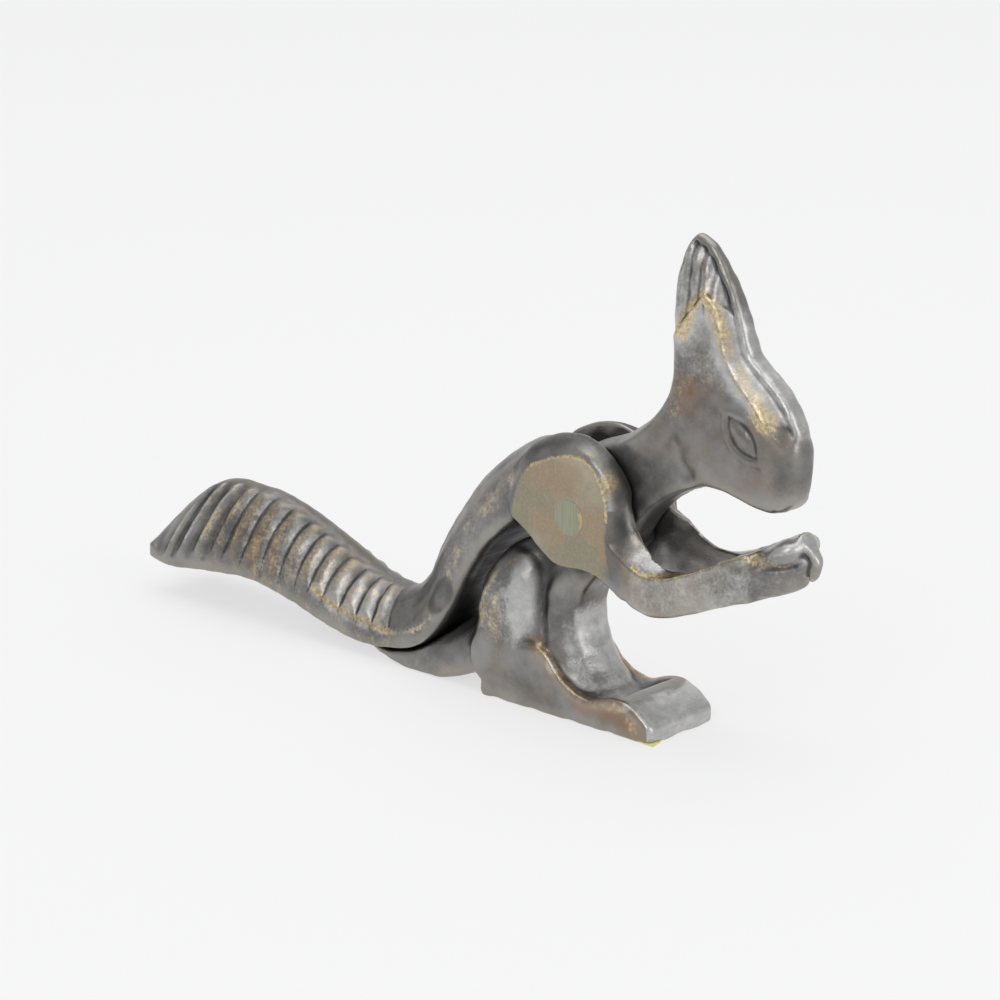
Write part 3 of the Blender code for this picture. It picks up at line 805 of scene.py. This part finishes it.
def shoulder_wear_and_light(x, y, z, face):
    """Olive on the ground flat, gold and silver round its rim, and painted shade behind and between,
    with some darker patina at the shoulder's front.
    """
    rim = path_gap(SHOULDER_RIM, x, z)
    near = ramp(6, 8, y)
    off_flat = ramp(-0.2, 0.2, outline_gap(FLAT_LOOP, x, z))
    gold = 1.1 * near * bell(rim, 0.32) * ramp(-12.5, -9, x)
    gold += near * spots(RIM_GOLD, x, y, z) * off_flat
    silver_and_highlight = 0.70 * near * (1 - face) * bell(rim - 0.9, 1) * ramp(5, 8, x) * (z > 44)
    lower_end = ramp(8.5, 12, x + 0.25 * np.maximum(36.0 - z, 0))
    brown = 0.5 * patch(x, z, (6, 44), (2.6, 6)) * face
    between = 1 - ramp(4.9, 5.6, y)
    # Painted shade in the slot between the shoulders.
    dark = 0.45 * ramp(12.6, 9.4, x) * between * ramp(52, 46, z)
    # Painted shade, with some darker patina, on the shoulder's front.
    dark += 0.95 * near * (1 - face) * patch(x, z, (12.4, 41.5), (2.6, 6.5))
    # Painted shade over the shoulder dome's top.
    dark += 0.80 * (1 - face) * bell(rim - 3, 1.9) * ramp(44, 48, z) * (1 - between)
    return gold, silver_and_highlight, face * (1 - lower_end), brown, dark


def forearm_wear_and_light(x, y, z, facing, face):
    """Gold along the outer ridge, olive below it, silver in the crook and on the hands with painted
    highlights there, and painted shade between the arms.
    """
    ridge = path_gap(FOREARM_RIDGE, x, z)
    near = ramp(6, 8, y)
    off_face = near * (1 - face)
    hand_side = ramp(2, 4, y)
    upward = facing[:, 2]
    outward = ramp(0.4, 0.1, upward)
    gold = 1.25 * near * bell(ridge, 0.55) * ramp(12.6, 14, x)
    gold += 0.8 * patch(x, z, (41.6, 40.6), (2.4, 1.8)) * hand_side
    gold += 0.5 * bell(path_gap(THUMB_PATH, x, z), 1.2) * hand_side
    # Painted highlights on the upward-facing crook and palm, and on the lip's forward face.
    silver_and_highlight = 1.1 * patch(x, z, (18.5, 36), (4.4, 2.5)) * ramp(0.1, 0.4, upward)
    silver_and_highlight += 1.5 * patch(x, z, (47.2, 43.2), (3.4, 2.2)) * ramp(0, 0.3, upward)
    silver_and_highlight += 0.6 * patch(x, z, (51.6, 43.4), (2.4, 3.4)) * ramp(0.4, 0.7, facing[:, 0])
    silver_and_highlight += 0.55 * off_face * ramp(13, 16, x) * outward + 0.35 * ramp(38, 42, x)
    side = ramp(11, 16, x) * ramp(42, 34, x) * ramp(0.4, 1, ridge)
    brown = 0.5 * patch(x, z, (44, 41), (2.6, 1.6)) * hand_side
    # Painted shade on the inner faces between the arms.
    dark = 0.65 * (1 - ramp(4.6, 5.6, y)) * ramp(11, 13, x) * ramp(41, 38, x)
    return gold, silver_and_highlight, 0.45 * off_face * side * outward, brown, dark


def tail_wear_and_light(x, y, z, facing):
    """Gold and silver on the ridges of the locks, painted highlights on the locks and the tip's top, a
    bright strip up the back, and painted shade in the oval dimple and on the undersides.
    """
    tail = path_gap(TAIL_RIDGE, x, z)
    back = path_gap(BACK_STRIP, x, z)
    near = ramp(6, 8, y)
    behind = ramp(-13, -16, x)
    phase = lock_phase(tail_edge(x, z), y, LOCK_HALF_WIDTH)
    raised = np.sin(math.pi * phase)
    locks = ramp(-46, -50, x) * ramp(1.5, 4, y) * (1 - ramp(8.4, 9.4, y))
    blade = ramp(-94, -102, x) * ramp(1.2, 3, y) * (1 - ramp(8.8, 9.6, y))
    gold = 0.75 * near * bell(tail, 0.6) + 0.40 * bell(back, 3) * behind
    gold += 0.36 * ramp(-45, -50, x) * ramp(-112, -104, x)
    gold += 0.42 * locks * (raised - 0.4) * ramp(-114, -104, x)
    # The spots on the raised locks are partly rubbed silver, partly painted highlight.
    silver_and_highlight = 0.95 * blade * bell(phase - 0.6, 0.13) + raised * spots(LOCK_SILVER_AND_HIGHLIGHT, x, y, z)
    # Painted light on the upward-facing top of the tip.
    silver_and_highlight += 0.5 * patch(x, z, (-97, 24), (9, 3.2)) * ramp(0.2, 0.6, facing[:, 2])
    silver_and_highlight += 0.6 * locks * (1 - raised) * ramp(-104, -92, x) * ramp(-60, -70, x)
    silver_and_highlight += 0.45 * near * bell(tail, 1.6) + 0.48 * bell(back, 3.4) * behind
    brown = raised * spots(LOCK_BROWN, x, y, z) + 0.45 * bell(back - 1, 2) * behind
    brown += 0.15 * ramp(-42, -50, x) * (1 - ramp(1.5, 5, y))
    oval = oval_share(x, z)
    # Painted shade and dark reflection inside the oval dimple, eased at its centre.
    dark = 0.6 * near * (1 - ramp(0.8, 1.1, oval)) * (1 - 1.2 * bell(oval, 0.4))
    # Painted shade on the downward-facing undersides.
    downward = np.clip(-facing[:, 2], 0, 1)
    dark += downward * ramp(-15, -18, x) * (1 - ramp(8.2, 9, y))
    return gold, silver_and_highlight, 0, brown, dark


def arm_masks(x, y, z, facing):
    """Worn gold, rubbed silver with painted highlights, ground olive, red-brown, and painted shade,
    over the arm lever.
    """
    face = ground_face(x, y, z)
    return add_up(x, shoulder_wear_and_light(x, y, z, face), forearm_wear_and_light(x, y, z, facing, face),
                  tail_wear_and_light(x, y, z, facing))


# ---- materials

class Nodes:
    """Short calls for building a node material."""

    def __init__(self, name):
        self.material = bpy.data.materials.new(name)
        self.material.use_nodes = True
        self.tree = self.material.node_tree
        self.shader = self.tree.nodes["Principled BSDF"]

    def add(self, kind, **settings):
        node = self.tree.nodes.new(kind)
        for key, value in settings.items():
            setattr(node, key, value)
        return node

    def link(self, source, target):
        self.tree.links.new(source, target)

    def place(self):
        return self.add("ShaderNodeNewGeometry").outputs["Position"]

    def attribute(self, name):
        return self.add("ShaderNodeAttribute", attribute_name=name).outputs["Fac"]

    def noise(self, scale, detail=4.0, rough=0.55, vector=None):
        node = self.add("ShaderNodeTexNoise")
        for socket, value in (("Scale", scale), ("Detail", detail), ("Roughness", rough)):
            node.inputs[socket].default_value = value
        self.link(vector or self.place(), node.inputs["Vector"])
        return node.outputs["Fac"]

    def stretch(self, scale):
        node = self.add("ShaderNodeMapping")
        node.inputs["Scale"].default_value = scale
        self.link(self.place(), node.inputs["Vector"])
        return node.outputs["Vector"]

    def math(self, operation, a, b=0.0, clamp=False):
        node = self.add("ShaderNodeMath", operation=operation, use_clamp=clamp)
        for socket, value in zip(node.inputs, (a, b)):
            if isinstance(value, (int, float)):
                socket.default_value = value
            else:
                self.link(value, socket)
        return node.outputs["Value"]

    def ramp(self, value, low, high):
        """0 below low, 1 above high, smooth between; falling if low is above high."""
        node = self.add("ShaderNodeMapRange", interpolation_type="SMOOTHSTEP")
        for socket, number in zip(("From Min", "From Max", "To Min", "To Max"), (low, high, 0.0, 1.0)):
            node.inputs[socket].default_value = number
        self.link(value, node.inputs["Value"])
        return node.outputs["Result"]

    def swing(self, value, amount):
        """A noise from 0 to 1, moved to swing about zero by the amount."""
        return self.math("MULTIPLY", self.math("SUBTRACT", value, 0.5), amount)

    def over(self, colour, share, amount, target):
        """A colour with another laid over it, by the share times the amount."""
        return self.mix(self.math("MULTIPLY", share, amount), colour, target)

    def mix(self, share, a, b):
        node = self.add("ShaderNodeMix", data_type="RGBA")
        for socket, value in (("Factor", share), ("A", a), ("B", b)):
            target = [s for s in node.inputs if s.name == socket and s.enabled][0]
            if isinstance(value, tuple):
                target.default_value = (*value, 1.0)
            else:
                self.link(value, target)
        return [s for s in node.outputs if s.enabled][0]

    def bump(self, height, strength, distance):
        node = self.add("ShaderNodeBump")
        node.inputs["Strength"].default_value = strength
        node.inputs["Distance"].default_value = distance
        self.link(height, node.inputs["Height"])
        self.link(node.outputs["Normal"], self.shader.inputs["Normal"])


# The metal's colours, linear
PATINA = (0.155, 0.155, 0.156)
PALE_PATINA = (0.300, 0.290, 0.280)
DUSTY = (0.300, 0.290, 0.275)
TAWNY = (0.240, 0.190, 0.140)
RED_BROWN = (0.290, 0.175, 0.105)
HANDLED = (0.400, 0.380, 0.340)
OLIVE = (0.290, 0.260, 0.185)
PALE_OLIVE = (0.440, 0.390, 0.300)
BROWN_OLIVE = (0.360, 0.262, 0.170)
OLIVE_SCRATCH = (0.430, 0.390, 0.300)
OLIVE_SPECK = (0.440, 0.400, 0.320)
SILVER = (0.450, 0.450, 0.450)
SILVER_LINE = (0.530, 0.528, 0.520)
BRIGHT_SILVER = (0.660, 0.650, 0.630)
WORN_EDGE = (0.560, 0.500, 0.400)
BRASS = (0.420, 0.315, 0.170)
BRIGHT_BRASS = (0.750, 0.620, 0.400)
# Near-black for painted shade
SHADE_BLACK = (0.036, 0.037, 0.038)
SCRATCH_SCALE = 2600.0
UPRIGHT_SCRATCH = (1.0, 1.0, 0.035)
CROSSWISE_SCRATCH = (1.0, 0.03, 1.0)


def patina(n, cloud, speck, tint, ragged):
    """Grey metal, clouded and specked, with red-brown places and paler high spots."""
    colour = n.mix(n.ramp(cloud, 0.36, 0.66), PATINA, PALE_PATINA)
    colour = n.over(colour, n.ramp(speck, 0.45, 0.72), 0.30, DUSTY)
    colour = n.over(colour, n.ramp(tint, 0.45, 0.72), 0.45, TAWNY)
    colour = n.over(colour, ragged(n.attribute("brown"), 0.25, 1.0), 0.75, RED_BROWN)
    high = n.ramp(n.math("ADD", n.attribute("broad"), n.swing(cloud, 0.4)), 0.10, 0.36)
    return n.over(colour, high, 0.40, HANDLED)


def ground_metal(n, cloud, speck, tint, lines):
    """Olive ground metal, scratched upright."""
    colour = n.mix(n.ramp(cloud, 0.38, 0.62), OLIVE, PALE_OLIVE)
    colour = n.over(colour, n.ramp(tint, 0.42, 0.60), 0.75, BROWN_OLIVE)
    colour = n.over(colour, n.ramp(lines, 0.35, 0.65), 0.12, OLIVE_SCRATCH)
    return n.over(colour, n.ramp(speck, 0.42, 0.70), 0.35, OLIVE_SPECK)


def bronze(name):
    """Grey patinated bronze: worn to gold, rubbed to silver with painted highlights, ground to olive,
    and darkened in its hollows and shadowed places by patina and painted shade.
    """
    n = Nodes(name)
    bulge = n.attribute("bulge")
    blotch = n.noise(330.0, 5.0, 0.62)
    speck = n.noise(1500.0, 4.0, 0.65)
    cloud = n.noise(70.0, 5.0, 0.6)
    tint = n.noise(110.0, 3.0, 0.5, n.stretch((1.0, 0.6, 1.3)))
    lines = n.noise(SCRATCH_SCALE, 3.0, 0.6, n.stretch(UPRIGHT_SCRATCH))
    across = n.noise(SCRATCH_SCALE, 3.0, 0.6, n.stretch(CROSSWISE_SCRATCH))

    def ragged(value, low, high, blotches=0.8, specks=0.45):
        """A ramp whose edge is broken up by the blotches and specks."""
        broken = n.math("ADD", n.math("ADD", value, n.swing(blotch, blotches)), n.swing(speck, specks))
        return n.ramp(broken, low, high)

    olive = n.math("MULTIPLY", n.attribute("olive"), 0.92, clamp=True)
    colour = patina(n, cloud, speck, tint, ragged)
    colour = n.mix(olive, colour, ground_metal(n, cloud, speck, tint, lines))
    shine = n.mix(n.ramp(across, 0.30, 0.70), SILVER, SILVER_LINE)
    shine = n.over(shine, n.ramp(blotch, 0.42, 0.66), 0.7, BRIGHT_SILVER)
    # Rubbed silver, with the painted highlights carried in the same attribute.
    rubbed = n.math("MULTIPLY", ragged(n.attribute("silver_and_highlight"), 0.25, 0.95, 0.7, 0.7), 0.85)
    colour = n.mix(rubbed, colour, shine)
    colour = n.over(colour, ragged(n.math("MULTIPLY", bulge, 0.55), 0.50, 1.05), 0.4, WORN_EDGE)
    gold = ragged(n.attribute("gold"), 0.30, 1.00, 1.35, 0.45)
    colour = n.over(colour, gold, 0.85, n.mix(n.ramp(speck, 0.34, 0.66), BRASS, BRIGHT_BRASS))
    # Darker in concave places: patina in the hollows, with painted shade there too.
    deep = n.math("MULTIPLY", n.ramp(bulge, -0.15, -1.00), 0.72)
    # The dark attribute, mostly painted shade, mixed towards near-black.
    shade_share = n.math("MULTIPLY", ragged(n.attribute("dark"), 0.10, 1.0, 0.4, 0.3), 0.78)
    dark = n.math("MAXIMUM", deep, shade_share, clamp=True)
    n.link(n.mix(dark, colour, SHADE_BLACK), n.shader.inputs["Base Color"])
    n.shader.inputs["Metallic"].default_value = 0.95
    rough = n.math("ADD", 0.25, n.math("MULTIPLY", blotch, 0.16))
    rough = n.math("ADD", rough, n.math("MULTIPLY", dark, 0.20))
    rough = n.math("ADD", rough, n.math("MULTIPLY", rubbed, 0.04), clamp=True)
    n.link(rough, n.shader.inputs["Roughness"])
    grain = n.math("ADD", n.math("MULTIPLY", speck, 0.65), n.math("MULTIPLY", n.noise(420.0, 3.0), 0.9))
    brushed = n.math("ADD", n.math("MULTIPLY", n.math("MULTIPLY", lines, olive), 0.22),
                     n.math("MULTIPLY", n.math("MULTIPLY", across, rubbed), 0.25))
    n.bump(n.math("ADD", grain, brushed), 0.5, 0.00016)
    return n.material


def pin_metal():
    """The ground end of the pin: dull green tarnish, its forward edge rubbed to gold."""
    n = Nodes("pin_metal")
    cloud = n.noise(420.0, 4.0)
    lines = n.noise(SCRATCH_SCALE, 3.0, 0.6, n.stretch(UPRIGHT_SCRATCH))
    colour = n.mix(n.ramp(lines, 0.35, 0.65), (0.300, 0.295, 0.215), (0.370, 0.360, 0.265))
    colour = n.over(colour, n.ramp(cloud, 0.4, 0.7), 0.6, (0.330, 0.360, 0.300))
    reach = n.add("ShaderNodeSeparateXYZ")
    n.link(n.add("ShaderNodeTexCoord").outputs["Object"], reach.inputs["Vector"])
    ahead = n.math("SUBTRACT", reach.outputs["X"], (PIVOT_X + 2.9) * MM)
    above = n.math("SUBTRACT", reach.outputs["Z"], (PIVOT_Z + 0.6) * MM)
    far = n.math("ADD", n.math("ABSOLUTE", ahead), n.math("MULTIPLY", n.math("ABSOLUTE", above), 0.35))
    rubbed = n.math("MULTIPLY", n.ramp(far, 1.5 * MM, 0.5 * MM), n.ramp(cloud, 0.35, 0.55))
    colour = n.over(colour, rubbed, 0.75, (0.620, 0.460, 0.200))
    n.link(colour, n.shader.inputs["Base Color"])
    n.shader.inputs["Metallic"].default_value = 0.92
    n.link(n.math("ADD", 0.34, n.math("MULTIPLY", cloud, 0.16)), n.shader.inputs["Roughness"])
    n.bump(lines, 0.4, 0.00012)
    return n.material


def label_paper():
    """Yellowed paper."""
    n = Nodes("label_paper")
    fibre = n.noise(700.0, 4.0)
    colour = n.mix(n.ramp(fibre, 0.3, 0.7), (0.62, 0.58, 0.22), (0.80, 0.78, 0.40))
    n.link(colour, n.shader.inputs["Base Color"])
    n.shader.inputs["Roughness"].default_value = 0.85
    n.bump(fibre, 0.3, 0.0001)
    return n.material


# ---- studio

CAMERA_AZIMUTH = math.radians(42.5)
CAMERA_ELEVATION = math.radians(16.5)
CAMERA_DISTANCE = 0.6825
CAMERA_TARGET = (PIVOT_X * MM - 0.0269, 0.0001, 0.03698)


def backdrop_material():
    """Plain pale paper, a little luminous so that it stays even to the edges of the view."""
    n = Nodes("paper_backdrop")
    settings = {"Base Color": (0.24, 0.24, 0.24, 1.0), "Emission Color": (1.0, 1.0, 1.0, 1.0),
                "Emission Strength": 0.65, "Roughness": 0.9, "Specular IOR Level": 0.1}
    for socket, value in settings.items():
        n.shader.inputs[socket].default_value = value
    return n.material


def studio():
    """A seamless pale sweep, soft lights above and in front, and a dim even surround."""
    run, radius, rise, half = 1.0, 0.6, 1.9, 2.6
    steps = 24
    rows = [(-2.2, 0.0), (run, 0.0)]
    for k in range(1, steps + 1):
        angle = 0.5 * math.pi * k / steps
        rows.append((run + radius * math.sin(angle), radius - radius * math.cos(angle)))
    rows.append((run + radius, rise))
    depth_axis = Vector((-math.sin(CAMERA_AZIMUTH), math.cos(CAMERA_AZIMUTH), 0))
    side_axis = Vector((math.cos(CAMERA_AZIMUTH), math.sin(CAMERA_AZIMUTH), 0))
    points = []
    for depth, height in rows:
        for side in (-half, half):
            points.append(depth_axis * depth + side_axis * side + Vector((0, 0, height)))
    faces = [(2 * i, 2 * i + 1, 2 * i + 3, 2 * i + 2) for i in range(len(rows) - 1)]
    sweep = smooth_object("sweep", points, faces)
    sweep.data.materials.append(backdrop_material())
    world = bpy.data.worlds.new("surround")
    world.use_nodes = True
    surround = world.node_tree.nodes["Background"]
    surround.inputs["Color"].default_value = (0.98, 0.99, 1.0, 1.0)
    surround.inputs["Strength"].default_value = 0.55
    bpy.context.scene.world = world
    bpy.context.scene.view_settings.view_transform = "Standard"
    add_light("front", (0.38, -0.86, 0.68), (0.0, 0.0, 0.04), 0.45, 2.15)
    add_light("right", (1.15, 0.10, 0.45), (0.0, 0.0, 0.04), 0.80, 3.4)
    add_light("above", (-0.05, 0.10, 1.40), (0.0, 0.0, 0.0), 1.60, 10.0)


def add_light(name, place, target, size, power):
    """A square soft light aimed at a point."""
    lamp = bpy.data.lights.new(name, "AREA")
    lamp.size = size
    lamp.energy = power
    holder = link_object(name, lamp)
    holder.location = place
    aim = Vector(target) - Vector(place)
    holder.rotation_euler = aim.to_track_quat("-Z", "Y").to_euler()


def add_camera():
    """A long lens, a little above the table, in front of the squirrel's right side."""
    level = math.cos(CAMERA_ELEVATION)
    back = Vector((math.sin(CAMERA_AZIMUTH) * level, -math.cos(CAMERA_AZIMUTH) * level,
                   math.sin(CAMERA_ELEVATION)))
    lens = bpy.data.cameras.new("camera")
    lens.lens = 124.7
    lens.sensor_width = 36.0
    holder = link_object("camera", lens)
    holder.location = Vector(CAMERA_TARGET) + back * CAMERA_DISTANCE
    holder.rotation_euler = (-back).to_track_quat("-Z", "Y").to_euler()
    bpy.context.scene.camera = holder


def pin():
    """The pin, its ground ends flush with the shoulder faces."""
    segments = 96
    rings = ((0, HALF_WIDTH), (PIN_RADIUS, HALF_WIDTH), (PIN_RADIUS, -HALF_WIDTH), (0, -HALF_WIDTH))
    points = []
    for radius, y in rings:
        for k in range(segments if radius else 1):
            turn = 2 * math.pi * k / segments
            points.append(((radius * math.cos(turn) + PIVOT_X) * MM, y * MM,
                           (radius * math.sin(turn) + PIVOT_Z) * MM))
    near, far, last = 1, 1 + segments, 1 + 2 * segments
    faces = []
    for k in range(segments):
        j = (k + 1) % segments
        faces.append((0, near + j, near + k))
        faces.append((near + k, near + j, far + j, far + k))
        faces.append((last, far + k, far + j))
    piece = smooth_object("pin", points, faces)
    piece.data.set_sharp_from_angle(angle=math.radians(35))
    return piece


add_camera()
studio()
body_axes = [
    ticks((-110, 0.7), (-64, 0.5), (-26, 0.36), (16, 0.30), (49.4, 1)),
    ticks((-10.8, 0.36), (10.8, 1)),
    ticks((-0.6, 0.36), (54, 0.30), (99, 1)),
]
body = casting("body_casting", body_field, body_masks, body_axes)
adopt(body, "body_lever", "body_lever", bronze("body_bronze"))
arm_axes = [
    ticks((-122.4, 0.32), (-42, 0.36), (59.6, 1)),
    ticks((-10.8, 0.38), (10.8, 1)),
    ticks((1.4, 0.34), (58.4, 1)),
]
arm = casting("arm_casting", arm_field, arm_masks, arm_axes)
adopt(arm, "arm_lever", "arm_lever", bronze("arm_bronze"))
adopt(pin(), "arm_lever", "pivot_pin", pin_metal())
label = frame["nodes"]["sole_label"]
label.data.materials.clear()
label.data.materials.append(label_paper())
